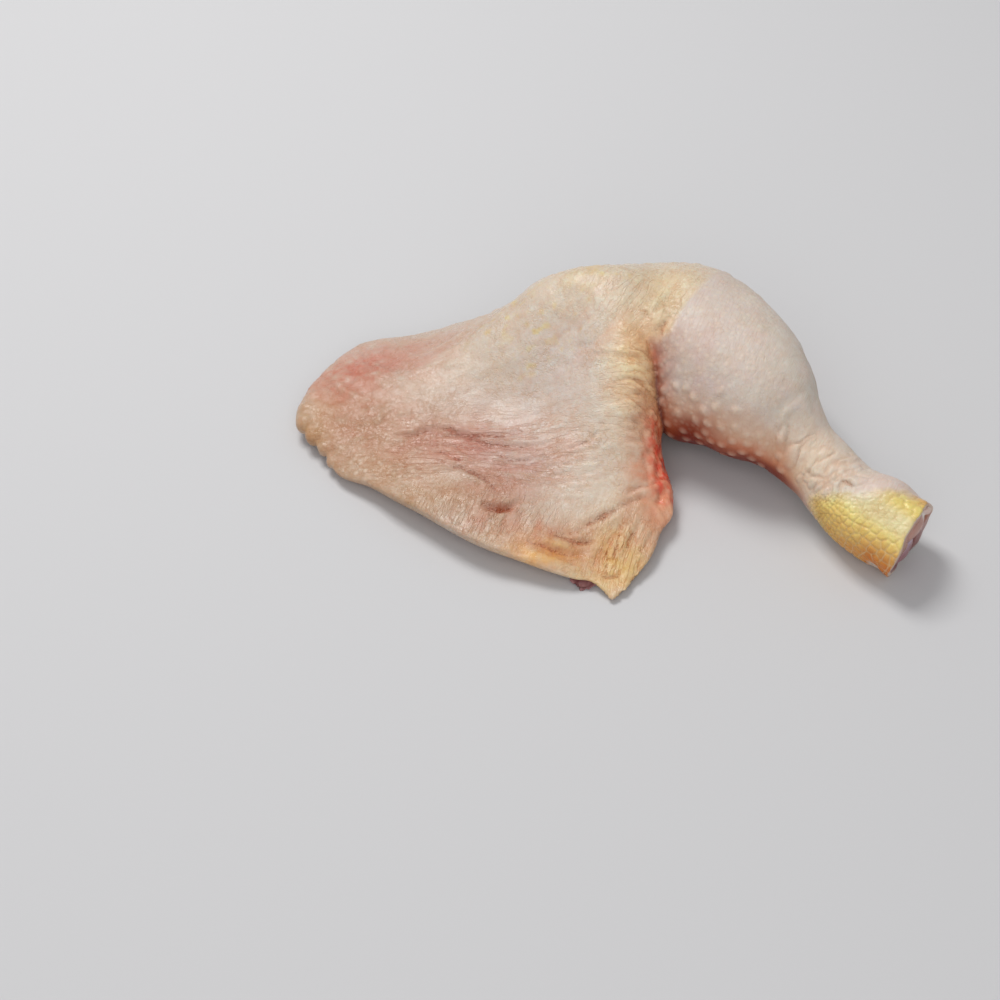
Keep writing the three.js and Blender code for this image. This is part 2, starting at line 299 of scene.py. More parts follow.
def flesh_field(points):
    """The whole leg before the meat's bed, the bone's hole and the cut are taken out of it."""
    thigh = as_distance(thigh_level, points)
    field = thigh.copy()
    left = points[:, 0] < -52
    for bead in FAT_BEADS:
        distance = np.linalg.norm(points[left] - bead[:3], axis=1) - bead[3]
        field[left] = soft_union(field[left], distance, BEAD_BLEND)
    near = points[:, 0] > 18
    blend = CREASE_BLEND + (KNEE_BLEND - CREASE_BLEND) * np.clip((points[near, 1] - 38) / 22, 0, 1)
    field[near] = soft_union(thigh[near], drumstick_field(points[near]), blend)
    return field


# The bone comes before the skin is meshed, because the skin is cut open around it.
SHANK_BONE = np.array([
    (86, 26, 25, 5.5, 5.5), (97, 11.6, 21, 4.8, 4.8), (105.3, 1.8, 17, 4.8, 4.8),
    (117.5, -11.3, 13.9, 5.6, 5.6), (126, -20.4, 13.3, 7.2, 7.2), (130.5, -24.5, 13.1, 7.8, 7.8),
])
CUT_SIDE = np.cross(CUT_NORMAL, (0, 0, 1))
CUT_SIDE = CUT_SIDE / np.linalg.norm(CUT_SIDE)
CUT_AXES = np.array((CUT_NORMAL, CUT_SIDE, np.cross(CUT_SIDE, CUT_NORMAL)))
KNUCKLE_HALF = np.array((6.2, 10, 5.7))
KNUCKLE_SET_BACK = 5.2
KNUCKLE_DROP = 0.6
KNUCKLES_MIDDLE = CUT_POINT - KNUCKLE_SET_BACK * CUT_NORMAL - (0, 0, KNUCKLE_DROP)
KNUCKLE_SPREAD = np.array((1.45, 0.91, 4.5))
# The sinew beside the upper knuckle, from inside the shank to its stump.
SINEW = np.array([(134, -24, 19.4, 1.3, 1.3), (142.9, -24.9, 20.8, 1.3, 1.3)])
SINEW_END = SINEW[1, :3]
FIT_GAP = 0.3
BONE_GAP = 0.1
CUT_ROUNDING = 0.9
SOCKET_ROUNDING = 1.6
LOBE_BLEND = 3.0
SINEW_BLEND = 0.8
bone_path = smooth_path(SHANK_BONE, 3)


def bone_field(points):
    field = tube_field(points, bone_path)
    for sign in (-1, 1):
        middle = KNUCKLES_MIDDLE + KNUCKLE_SPREAD * sign
        field = soft_union(field, ball_field(points, middle, KNUCKLE_HALF, CUT_AXES), LOBE_BLEND)
    return soft_union(field, tube_field(points, SINEW), SINEW_BLEND)


MEAT_REACH = 0.86
MEAT_SHARE = 0.4
MEAT_FULLNESS = 3
MEAT_TOP = 21
SHRED_AT = np.array((28.5, -37, 1))
SHRED_HALF = np.array((6, 6.8, 1))
SHRED_BLEND = 1.0


def meat_level(points):
    x, y, z = points.T
    share, edge_height, fullness = edge_at(x, y)
    rise = (1 - np.minimum(share, 1) ** fullness) ** (1 / TOP_ROUNDNESS)
    skin = edge_height + rise_above(edge_height, x, y) * rise
    return (share / MEAT_REACH) ** MEAT_FULLNESS + (z / (skin * MEAT_SHARE)) ** 2 - 1


def meat_field(points):
    slab = as_distance(meat_level, points)
    return soft_union(slab, ball_field(points, SHRED_AT, SHRED_HALF), SHRED_BLEND)


def past_cut(points):
    """Distance beyond the cut, which is ragged round its edge."""
    offset = points - CUT_POINT
    turn = np.arctan2(offset @ CUT_AXES[2], offset @ CUT_AXES[1])
    ragged = 0.6 * np.sin(2 * turn + 1) + 0.35 * np.sin(5 * turn) + 0.15 * np.sin(11 * turn + 2)
    return offset @ CUT_NORMAL - RAGGED * ragged


def leg_field(points):
    field = np.maximum(flesh_field(points), -points[:, 2])
    shank = points[:, 0] > 78
    field[shank] = soft_cut(field[shank], -past_cut(points[shank]), CUT_ROUNDING)
    low = points[:, 2] < MEAT_TOP
    field[low] = np.maximum(field[low], FIT_GAP - meat_field(points[low]))
    field[shank] = soft_cut(field[shank], bone_field(points[shank]) - BONE_GAP, SOCKET_ROUNDING)
    return field


def net_surface(field, low, high, step):
    """Quads on the zero of a field. It is sampled coarsely first, then finely only near its zero."""
    low = np.array(low, float)
    blocks = np.ceil((np.array(high) - low) / (3 * step)).astype(int)
    coarse_points = low + (3 * np.indices(blocks).reshape(3, -1).T + 1) * step
    coarse = field(coarse_points).reshape(blocks)
    values = coarse
    near = np.abs(coarse) < 5 * step
    for axis in range(3):
        values = np.repeat(values, 3, axis)
        near = np.repeat(near, 3, axis)
    cells = np.argwhere(near)
    values[near] = field(low + cells * step)

    inside = values < 0
    shape = np.array(values.shape) - 1
    crossing_sum = np.zeros((*shape, 3))
    crossings = np.zeros(shape)

    def at_corner(array, corner):
        return array[tuple(slice(c, c + n) for c, n in zip(corner, shape))]

    for corner in itertools.product((0, 1), repeat=3):
        for axis in range(3):
            if corner[axis]:
                continue
            other = tuple(1 if a == axis else c for a, c in enumerate(corner))
            first, second = at_corner(values, corner), at_corner(values, other)
            crossed = at_corner(inside, corner) != at_corner(inside, other)
            where = np.where(crossed, first / np.where(crossed, first - second, 1), 0)
            for a in range(3):
                crossing_sum[..., a] += np.where(crossed, corner[a] + (where if a == axis else 0), 0)
            crossings += crossed
    used = crossings > 0
    index = -np.ones(used.shape, int)
    index[used] = np.arange(used.sum())
    vertices = low + (np.argwhere(used) + crossing_sum[used] / crossings[used][:, None]) * step

    quads = []
    for axis in range(3):
        near_side = tuple(slice(0, -1) if a == axis else slice(1, -1) for a in range(3))
        far_side = tuple(slice(1, None) if a == axis else slice(1, -1) for a in range(3))
        crossed = inside[near_side] != inside[far_side]
        cell = np.argwhere(crossed) + [0 if a == axis else 1 for a in range(3)]
        u, v = (np.eye(3, dtype=int)[a] for a in range(3) if a != axis)
        ring = [index[tuple((cell - offset).T)] for offset in (0 * u, u, u + v, v)]
        quad = np.stack(ring, 1)
        outward = inside[near_side][crossed] != (axis == 1)
        quads.append(np.where(outward[:, None], quad, quad[:, ::-1]))
    return vertices, np.concatenate(quads)


def settle(points, field, rounds=3):
    """Moves points onto the zero of a field."""
    step = 0.15
    for _ in range(rounds):
        here = field(points)
        slope = np.stack([(field(points + step * axis) - here) / step for axis in np.eye(3)], 1)
        strength = np.maximum((slope**2).sum(1), 0.2)
        move = -slope * (here / strength)[:, None]
        points = points + np.clip(move, -0.5, 0.5)
    return points


def mesh_object(name, vertices, faces):
    mesh = bpy.data.meshes.new(name)
    mesh.from_pydata(((vertices - CENTRE) * MM).tolist(), [], faces)
    mesh.polygons.foreach_set("use_smooth", np.ones(len(mesh.polygons), bool))
    piece = bpy.data.objects.new(name, mesh)
    bpy.context.collection.objects.link(piece)
    return piece


def places_of(piece):
    flat = np.empty(len(piece.data.vertices) * 3)
    piece.data.vertices.foreach_get("co", flat)
    return flat.reshape(-1, 3) / MM + CENTRE


def normals_of(piece):
    flat = np.empty(len(piece.data.vertices) * 3, np.float32)
    piece.data.vertex_normals.foreach_get("vector", flat)
    return flat.reshape(-1, 3).astype(float)


def move_to(piece, places):
    piece.data.vertices.foreach_set("co", ((places - CENTRE) * MM).ravel())
    piece.data.update()


SKIN_STEP = 0.9
LEG_LOW = (-76, -54, -2)
LEG_HIGH = (152, 99, 57)
vertices, quads = net_surface(leg_field, LEG_LOW, LEG_HIGH, SKIN_STEP)
leg = mesh_object("leg_skin", settle(vertices, leg_field), quads.tolist())

# Most of the faces under the leg and inside it are never seen, so they are made fewer.
HIDDEN_SHARE = 0.22
UNDERSIDE_TOP = 9
THIGH_END = 62
SOCKET_WALL = 1.5
places, normals = places_of(leg), normals_of(leg)
hidden = (normals[:, 2] < -0.35) & (places[:, 2] < UNDERSIDE_TOP) & (places[:, 0] < THIGH_END)
hidden |= (bone_field(places) < SOCKET_WALL) & ((places - CUT_POINT) @ CUT_NORMAL < -2)
group = leg.vertex_groups.new(name="hidden")
group.add(np.flatnonzero(hidden).tolist(), 1.0, "REPLACE")
fewer = leg.modifiers.new("fewer", "DECIMATE")
fewer.vertex_group = "hidden"
fewer.ratio = 1 - (1 - HIDDEN_SHARE) * hidden.mean()
evaluated = leg.evaluated_get(bpy.context.evaluated_depsgraph_get())
leg_mesh = bpy.data.meshes.new_from_object(evaluated)
leg.modifiers.clear()
leg.vertex_groups.clear()
leg.data = leg_mesh

# The scales of the shank are small, so the mesh is made finer there.
places = places_of(leg)
scaly = (places[:, 0] > 100) & (places[:, 1] < 2) & (bone_field(places) > SOCKET_WALL)
fine = bmesh.new()
fine.from_mesh(leg_mesh)
fine.verts.ensure_lookup_table()
scaly_edges = [e for e in fine.edges if scaly[e.verts[0].index] and scaly[e.verts[1].index]]
bmesh.ops.subdivide_edges(fine, edges=scaly_edges, cuts=1, use_grid_fill=True)
fine.to_mesh(leg_mesh)
fine.free()

# ---- Folds and wrinkles of the skin ----
# The skin is loose: it lies in long soft folds along the thigh, gathers at the crease and fans out
# over the thin corner. Each fold is a groove with a raised lip along its path, and finer wrinkles
# run in patches. The section on colours makes the grooves warmer and darker, partly the skin's
# own redness and partly painted shade.

# Paths seen from above, each with the groove's depth and half width.
FOLDS = (
    (((-39, 21), (-32, 19), (-22, 22), (-14, 19), (-4, 16), (3, 16), (11, 16)), 1.1, 1.3),
    (((-30, 19), (-24, 17.5), (-14, 19), (-8, 15), (-2, 12), (8, 10), (15, 9)), 0.9, 1.1),
    (((-8, 10), (-2, 8), (3, 4), (10, 4), (17, 6)), 0.7, 1.0),
    (((-25, 16), (-20, 10), (-15, 6), (-12, 4)), 0.7, 1.2),
    (((-20, 4), (-16.5, 2.4), (-13, 1.5), (-8.6, -1.8), (-2.2, -7.5), (3, -12)), 0.85, 1.3),
    (((-6, -14), (-3.5, -16), (0, -16.4), (3, -15.4), (7, -13)), 1.7, 1.5),
    (((36, 12), (33, 9), (29, 7), (22, 6)), 0.6, 1.1),
    (((50, -10), (47, -11), (41, -14), (36, -17), (30, -20), (23, -24), (15, -23)), 0.55, 1.5),
    (((15, -24), (22, -26), (29, -27), (33, -24)), 0.8, 1.2),
    (((3, -26), (14, -30), (23, -32), (29, -30)), 0.8, 1.0),
    (((36, -27), (36, -34), (35, -41)), 0.5, 0.9),
    (((41, -22), (39, -30), (37.5, -37)), 0.5, 0.9),
    (((48, -18), (45, -24), (43, -28), (40, -34)), 0.6, 1.0),
    (((52, -22), (48.5, -28), (44, -34)), 0.5, 0.9),
    (((30, -38), (34, -39), (39, -39), (42, -37)), 0.5, 0.9),
    (((58, 0), (52, -5), (48, -7), (42, -10)), 0.8, 1.0),
    (((30, 33), (33, 32), (40, 29), (47, 28), (54, 27)), 0.8, 1.0),
    (((39, 21), (45, 18), (49, 19), (57, 20)), 0.9, 1.0),
    (((40, 16), (47, 15), (56, 15)), 0.8, 0.9),
    (((44, 12), (50, 11), (56, 9)), 0.8, 0.9),
    (((46, 24.5), (56, 24)), 0.7, 0.9),
    (((49, 47), (51, 43), (53, 39)), 0.8, 0.9),
    (((58, 38), (57, 33), (56, 29)), 0.9, 0.9),
    (((58.5, 42), (56, 37.5), (54.5, 33)), 0.7, 0.9),
    (((50, 37), (52, 33.5), (53.5, 30)), 0.7, 0.9),
    (((98, -2), (95, -3), (92, -3)), 0.8, 1.2),
    (((102, -8), (104, -10), (107, -13), (108, -11)), 0.5, 1.1),
    (((110, -15), (116, -16), (119, -21)), 0.5, 1.0),
)
FOLD_DEPTH = 1.2
LIP_SHARE = 0.4
LIP_AWAY = 1.8
WRINKLE_DEPTH = 1.5

# Patches of wrinkles: middle x, y, spread x, y, direction, distance between them, length of each in
# such distances, depth and seed.
WRINKLES = (
    (-10, 13, 28, 12, -4, 3.8, 6, 0.62, 3),
    (-2, -1, 24, 9, -20, 3.4, 5, 0.5, 4),
    (22, 4, 16, 13, 4, 3.4, 5, 0.4, 5),
    (0, -22, 26, 7, 74, 2.8, 4, 0.25, 6),
    (42, -30, 11, 14, -108, 3.0, 8, 0.5, 7),
    (20, -30, 16, 7, -12, 3.0, 5, 0.6, 8),
    (49, 22, 9, 18, -6, 3.0, 5, 0.75, 9),
    (57, 46, 10, 15, 62, 3.0, 4, 0.45, 10),
    (30, 40, 20, 18, 40, 3.2, 4, 0.25, 11),
    (54, -4, 6, 15, -40, 2.8, 3, 0.6, 12),
    (-50, 50, 20, 20, -48, 3.6, 5, 0.45, 13),
    (-46, 26, 20, 14, 20, 2.6, 2, 0.35, 17),
    (-20, 55, 30, 18, 15, 3.4, 3, 0.2, 14),
    (98, -1, 10, 9, 44, 2.8, 5, 0.5, 15),
    (114, -14, 13, 11, 38, 2.6, 2, 0.5, 16),
)
# Soft unevenness everywhere: size, height and seed.
UNEVENNESS = ((15, 0.5, 21), (6.5, 0.28, 22), (2.9, 0.1, 23))

# Factors that scatter the numbers of neighbouring corners.
PRIMES = (73856093, 19349663, 83492791, 668265263, 1274126177)


def scramble(whole, seed):
    """A number between -1 and 1 for every corner of a lattice, always the same for one seed."""
    x, y, z = whole.T
    mixed = (x * PRIMES[0]) ^ (y * PRIMES[1]) ^ (z * PRIMES[2]) ^ (seed * PRIMES[3])
    mixed = (mixed ^ (mixed >> 13)) * PRIMES[4] & 0x7FFFFFFF
    mixed = (mixed ^ (mixed >> 15)) * PRIMES[3] & 0x7FFFFFFF
    return (mixed ^ (mixed >> 16)) % 65536 / 32767.5 - 1


def noise(places, seed):
    """Smooth noise with swellings one unit across."""
    whole = np.floor(places).astype(np.int64)
    part = places - whole
    part = part * part * (3 - 2 * part)
    total = np.zeros(len(places))
    for corner in itertools.product((0, 1), repeat=3):
        weight = np.prod(np.where(corner, part, 1 - part), 1)
        total += weight * scramble(whole + corner, seed)
    return total


# Turned like this, the lattice of the noise doesn't show on level skin.
TURN = np.array(((0.8, 0.36, -0.48), (-0.6, 0.48, -0.64), (0, 0.8, 0.6)))


def ripple(places, direction, apart, stretch, seed):
    """Long swellings, above 0, and hollows, below 0, that run in one direction."""
    a = math.radians(direction)
    along = places[:, 0] * math.cos(a) + places[:, 1] * math.sin(a)
    across = places[:, 1] * math.cos(a) - places[:, 0] * math.sin(a)
    across = across + 0.7 * apart * noise(places / (apart * 3), seed + 50)
    spots = np.stack([along / (apart * stretch), across / apart, places[:, 2] / (apart * 2)], 1)
    return noise(spots + seed * 7.3, seed) + 0.35 * noise(spots * 2.1 + 3.7, seed + 90)


def wrinkle(level):
    """1 in the narrow valleys of a ripple and 0 between them."""
    return np.clip(1 - np.abs(level) / 0.42, 0, 1) ** 1.4


def patch(places, x, y, spread_x, spread_y):
    return np.exp(-(((places[:, 0] - x) / spread_x) ** 2) - ((places[:, 1] - y) / spread_y) ** 2)


places, normals = places_of(leg), normals_of(leg)
facing_up = ease(normals[:, 2], -0.15, 0.25)
LOOK_ROUND = 1.2
top_tree = kdtree.KDTree(len(places))
for i, (x, y, z) in enumerate(places):
    top_tree.insert((x, y, 0), i)
top_tree.balance()


def on_top(x, y):
    """The place of the skin above a place on the table."""
    near = top_tree.find_range((x, y, 0), LOOK_ROUND) or [top_tree.find((x, y, 0))]
    return x, y, max(places[i][2] for _, i, _ in near)


# The height to move the skin by, how deep each place lies in a groove, and how many of a fold's
# widths it is away from the bottom of the nearest one.
relief = np.zeros(len(places))
valley = np.zeros(len(places))
fold_gap = np.full(len(places), 4.0)
for path, depth, half_width in FOLDS:
    curve = smooth_path(np.array(path, float), 10)
    curve = np.array([on_top(x, y) for x, y in curve])
    curve[:, 1] += 0.5 * noise(curve / 3.1, 31)
    reach = half_width * 4
    near = np.flatnonzero(((places > curve.min(0) - reach) & (places < curve.max(0) + reach)).all(1))
    fading = 0.85 + 0.3 * noise(curve / 4.5, 34)
    offset = places[near, None, :] - curve[None, :, :]
    distance = np.linalg.norm(offset, axis=2)
    nearest = distance.argmin(1)
    away = distance[np.arange(len(near)), nearest]
    t = nearest / (len(curve) - 1)
    taper = (4 * t * (1 - t)) ** 0.6 * np.clip(fading[nearest], 0.2, 1.1)
    width = half_width * (0.45 + 0.55 * taper)
    run = np.gradient(curve, axis=0)[nearest]
    across = offset[np.arange(len(near)), nearest]
    side = np.sign(run[:, 0] * across[:, 1] - run[:, 1] * across[:, 0])
    groove = np.exp(-((away / width) ** 2))
    lip = np.exp(-(((away - LIP_AWAY * width) / width) ** 2)) * np.where(side > 0, 1.0, 0.35)
    shown = taper * facing_up[near]
    relief[near] += FOLD_DEPTH * depth * shown * (LIP_SHARE * lip - groove)
    valley[near] = np.maximum(valley[near], shown * groove * min(0.8, 0.35 + 0.35 * depth))
    fold_gap[near] = np.minimum(fold_gap[near], away / width + 1.3 * (1 - shown))

hollow = np.zeros(len(places))
for x, y, spread_x, spread_y, direction, apart, stretch, depth, seed in WRINKLES:
    strength = patch(places, x, y, spread_x, spread_y) * facing_up
    level = ripple(places, direction, apart, stretch, seed)
    lines = wrinkle(level) * strength
    relief += WRINKLE_DEPTH * depth * (0.5 * strength * level - lines)
    valley = np.maximum(valley, lines * min(1, depth * 1.2))
    hollow = np.maximum(hollow, strength * ease(-level, -0.25, 0.7))

outside = np.maximum(facing_up, ease(places[:, 0], 62, 66)) * ease(bone_field(places), 0.8, 2.0)
tight = ease(places[:, 0], 62, 74) * ease(places[:, 0], 104, 94)
for size, height, seed in UNEVENNESS:
    relief += height * outside * (1 - 0.5 * tight) * noise(places @ TURN / size, seed)
relief += 0.5 * patch(places, 57, -1, 6, 14) * noise(places @ TURN / 1.7, 24)

standing = ease(places[:, 2], 0.3, 3.0)
moved = places + normals * (relief * outside * standing)[:, None]
moved[:, 2] = np.maximum(moved[:, 2], 0)
move_to(leg, moved)

# ---- Follicles and scales ----
# Feathers have left raised pale bumps on the belly of the drumstick and faint ones elsewhere. From
# the hock down the skin turns into horny scales, fine above and broad at the cut. One node tree
# scatters the bumps, swells the skin round each, and raises the scales between their borders.

# The upper edge of the scaly band, from under the shank over its near side to the top.
BAND_EDGE = np.array([
    (113, -22, 2), (107, -18, 8), (104.5, -15.5, 12), (104, -14.5, 17), (107, -16, 20), (111, -18, 23),
    (119, -21, 25), (128, -22, 26), (135, -22, 25), (141, -22, 23),
])


def round_the_shank(points):
    """How far along the drumstick's path, the angle round it (0 above, 90 near side) and the radius."""
    run_length = np.linalg.norm(np.diff(drumstick_path[:, :3], axis=0), axis=1)
    start_at = np.concatenate([[0], np.cumsum(run_length)])
    best = np.full(len(points), 1e9)
    along, angle, radius = (np.zeros(len(points)) for _ in range(3))
    for start, end, length, begin in zip(drumstick_path[:-1], drumstick_path[1:], run_length, start_at):
        forward = (end[:3] - start[:3]) / length
        side = np.cross(forward, (0, 0, 1))
        side = side / np.linalg.norm(side)
        up = np.cross(side, forward)
        t = np.clip((points - start[:3]) @ forward, 0, length)
        offset = points - start[:3] - t[:, None] * forward
        distance = np.linalg.norm(offset, axis=1)
        closer = distance < best
        best[closer] = distance[closer]
        along[closer] = begin + t[closer]
        angle[closer] = np.degrees(np.arctan2(offset @ side, offset @ up))[closer]
        radius[closer] = distance[closer]
    return along, angle, radius


places, normals = places_of(leg), normals_of(leg)
facing_up = ease(normals[:, 2], -0.15, 0.25)
on_shank = places[:, 0] > 88
along, angle, radius = (np.zeros(len(places)) for _ in range(3))
along[on_shank], angle[on_shank], radius[on_shank] = round_the_shank(places[on_shank])
edge_along, edge_angle, _ = round_the_shank(BAND_EDGE)
order = np.argsort(edge_angle)
band_start = np.interp(angle, edge_angle[order], edge_along[order], left=edge_along[order][0] + 6)
band_start = band_start + 1.3 * noise(places / 3.5, 41) + 0.8 * noise(places / 1.6, 42)
outer = ease(bone_field(places), 0.9, 1.6)
behind_cut = -past_cut(places)
facing_cut = ease(normals @ CUT_NORMAL, 0.45, 0.8) * ease(behind_cut, 3.0, 1.6)
in_band = np.where(on_shank & (angle > -75), ease(along - band_start, -2.2, 2.4), 0)
in_band *= outer * (1 - facing_cut)

# Rows and columns of scales, which grow broader towards the cut.
FINEST_SCALE = 1.3
BROADEST_SCALE = 3.5
ROW_STEP = 0.25
ROW_SLANT = 0.25


def scale_size(from_band):
    return FINEST_SCALE + (BROADEST_SCALE - FINEST_SCALE) * ease(from_band, 2, 34)


from_band = along - edge_along.min()
row_marks = np.arange(241) * ROW_STEP
rows = np.interp(from_band, row_marks, np.cumsum(ROW_STEP / scale_size(row_marks)))
columns = np.radians(angle - 62) * np.maximum(radius, 8) / scale_size(from_band)
scale_place = np.stack([rows + ROW_SLANT * columns, columns, np.zeros(len(places))], 1)

# Where the drumstick begins: at the bottom of the crease, and above it along this path over the knee.
thigh_distance = as_distance(thigh_level, places)
drum_distance = drumstick_field(places)
KNEE_FOLD = smooth_path(np.array([
    (54, 20), (54.5, 28), (55.5, 32), (59, 36.5), (63, 44), (68, 51), (74, 60), (80, 72), (84, 84),
], float), 8)
gap = places[:, None, :2] - KNEE_FOLD[None]
nearest = np.hypot(gap[..., 0], gap[..., 1]).argmin(1)
run = np.gradient(KNEE_FOLD, axis=0)[nearest]
gap = gap[np.arange(len(places)), nearest]
past_fold = (run[:, 1] * gap[:, 0] - run[:, 0] * gap[:, 1]) / np.linalg.norm(run, axis=1)
beyond = ease(past_fold, -1.2, 1.2)
split = ease(thigh_distance - drum_distance, -0.8, 0.8)
mix = ease(places[:, 1], 32, 38)
drum = beyond * mix + split * (1 - mix)
drum[places[:, 0] < 45] = 0
drum[places[:, 0] > 86] = 1

# Follicles lie thickest along the belly, and faintly on the back and by the thigh's near edge.
belly_side = ease(-normals[:, 1], -0.4, 0.2) * ease(normals[:, 2], -0.8, -0.3)
above_ankle = ease(places[:, 0], 102, 92)
middle_height = np.interp(places[:, 0], DRUMSTICK[:, 0], DRUMSTICK[:, 2])
half_height = np.interp(places[:, 0], DRUMSTICK[:, 0], DRUMSTICK[:, 4])
level = (places[:, 2] - middle_height) / half_height
on_belly = drum * belly_side * above_ankle
on_belly *= 0.1 + 0.9 * ease(level, 0.75, 0.15)
on_belly *= ease(level, -0.75, -0.4)
on_belly *= ease(drum_distance - thigh_distance, 2, -3)
on_thigh = patch(places, -36, 4, 17, 11) * facing_up * 0.32
behind = 0.22 * ease(normals[:, 1], 0.1, 0.6) * ease(places[:, 2], 5, 12) * ease(places[:, 0], 100, 90)
follicle_share = np.maximum(np.maximum(on_belly, on_thigh), behind)


FIELD_OF_KIND = {"FLOAT": "value", "FLOAT_VECTOR": "vector", "FLOAT_COLOR": "color"}


def give(piece, name, kind, values):
    """Stores a number, a vector or a colour for each point of a piece."""
    layer = piece.data.attributes.new(name, kind, "POINT")
    layer.data.foreach_set(FIELD_OF_KIND[kind], np.asarray(values, np.float32).ravel())


give(leg, "follicle_share", "FLOAT", follicle_share)
give(leg, "scale_place", "FLOAT_VECTOR", scale_place)
pale_top = ease(np.abs(angle - 28), 30, 6)
give(leg, "in_band", "FLOAT", in_band * (1 - 0.6 * pale_top))

# Each input's name, kind and value, lengths in metres and crowding per square metre.
RELIEF_INPUTS = (
    ("Spacing", "NodeSocketFloat", 0.004),
    ("Crowding", "NodeSocketFloat", 60000.0),
    ("Bump radius", "NodeSocketFloat", 0.0025),
    ("Bump height", "NodeSocketFloat", 0.0007),
    ("Scale height", "NodeSocketFloat", 0.0005),
    ("Seed", "NodeSocketInt", 5),
)
tree = bpy.data.node_groups.new("skin_relief", "GeometryNodeTree")
tree.interface.new_socket("Geometry", in_out="INPUT", socket_type="NodeSocketGeometry")
for name, kind, value in RELIEF_INPUTS:
    socket = tree.interface.new_socket(name, in_out="INPUT", socket_type=kind)
    socket.default_value = value
tree.interface.new_socket("Geometry", in_out="OUTPUT", socket_type="NodeSocketGeometry")


def add(kind, **settings):
    node = tree.nodes.new(kind)
    for name, value in settings.items():
        setattr(node, name, value)
    return node


def join(output, target):
    tree.links.new(output, target)


def attribute(name, kind="FLOAT"):
    node = add("GeometryNodeInputNamedAttribute", data_type=kind)
    node.inputs["Name"].default_value = name
    return node.outputs["Attribute"]


def arithmetic(operation, first, second):
    node = add("ShaderNodeMath", operation=operation)
    for i, value in enumerate((first, second)):
        if isinstance(value, (int, float)):
            node.inputs[i].default_value = value
        else:
            join(value, node.inputs[i])
    return node.outputs[0]


group_in = add("NodeGroupInput")
group_out = add("NodeGroupOutput")
scatter = add("GeometryNodeDistributePointsOnFaces", distribute_method="POISSON")
join(group_in.outputs["Geometry"], scatter.inputs["Mesh"])
join(group_in.outputs["Spacing"], scatter.inputs["Distance Min"])
join(group_in.outputs["Crowding"], scatter.inputs["Density Max"])
join(group_in.outputs["Seed"], scatter.inputs["Seed"])
proximity = add("GeometryNodeProximity", target_element="POINTS")
join(scatter.outputs["Points"], proximity.inputs["Geometry"])
swell = add("ShaderNodeMapRange", interpolation_type="SMOOTHERSTEP")
set_inputs(swell, {"From Min": 0.0003, "To Min": 1.0, "To Max": 0.0})
join(proximity.outputs["Distance"], swell.inputs["Value"])
join(group_in.outputs["Bump radius"], swell.inputs["From Max"])
shown = arithmetic("MINIMUM", arithmetic("MULTIPLY", attribute("follicle_share"), 2.2), 1.0)
join(shown, scatter.inputs["Density Factor"])
pimple = arithmetic("MULTIPLY", swell.outputs["Result"], shown)

borders = add("ShaderNodeTexVoronoi", voronoi_dimensions="2D", feature="DISTANCE_TO_EDGE")
set_inputs(borders, {"Scale": 1.0, "Randomness": 0.55})
join(attribute("scale_place", "FLOAT_VECTOR"), borders.inputs["Vector"])
plateau = add("ShaderNodeMapRange", interpolation_type="SMOOTHSTEP")
plateau.inputs["From Max"].default_value = 0.2
join(borders.outputs["Distance"], plateau.inputs["Value"])
scale_top = arithmetic("MULTIPLY", plateau.outputs["Result"], attribute("in_band"))
border = arithmetic("SUBTRACT", attribute("in_band"), scale_top)

bump_rise = arithmetic("MULTIPLY", pimple, group_in.outputs["Bump height"])
scale_rise = arithmetic("MULTIPLY", scale_top, group_in.outputs["Scale height"])
height = arithmetic("ADD", bump_rise, scale_rise)
normal = add("GeometryNodeInputNormal")
push = add("ShaderNodeVectorMath", operation="SCALE")
join(normal.outputs[0], push.inputs[0])
join(height, push.inputs["Scale"])
raise_skin = add("GeometryNodeSetPosition")
join(group_in.outputs["Geometry"], raise_skin.inputs["Geometry"])
join(push.outputs[0], raise_skin.inputs["Offset"])
last = raise_skin.outputs["Geometry"]
for name, value in (("pimple", pimple), ("scale_border", border)):
    store = add("GeometryNodeStoreNamedAttribute", data_type="FLOAT", domain="POINT")
    store.inputs["Name"].default_value = name
    join(last, store.inputs["Geometry"])
    join(value, store.inputs["Value"])
    last = store.outputs["Geometry"]
realize = add("GeometryNodeRealizeInstances")
join(last, realize.inputs[0])
skin, skin_nodes, skin_links, shader = new_finish("chicken_skin")
dress = add("GeometryNodeSetMaterial")
dress.inputs["Material"].default_value = skin
join(realize.outputs[0], dress.inputs["Geometry"])
join(dress.outputs[0], group_out.inputs["Geometry"])

skin_relief = leg.modifiers.new("skin_relief", "NODES")
skin_relief.node_group = tree
sockets = {item.name: item.identifier for item in tree.interface.items_tree if item.in_out == "INPUT"}
for name, _, value in RELIEF_INPUTS:
    skin_relief[sockets[name]] = value
# The tree keeps the points' order, so what is known of each point, such as in_band, stays true.
evaluated = leg.evaluated_get(bpy.context.evaluated_depsgraph_get())
leg_mesh = bpy.data.meshes.new_from_object(evaluated)
leg.modifiers.clear()
leg.data = leg_mesh
places = places_of(leg)
places[:, 2] = np.maximum(places[:, 2], 0)
move_to(leg, places)

# ---- The skin's colours and finish ----
# Thin wet skin over fat and flesh: cream where fat lies under it, pink and violet where flesh shows
# through, yellow round the knee, red where it is bruised, pale pink on the drumstick, lemon scales.


def tint(red, green, blue):
    return (np.array((red, green, blue)) / 255) ** 2.2


CREAM = tint(212, 195, 178)
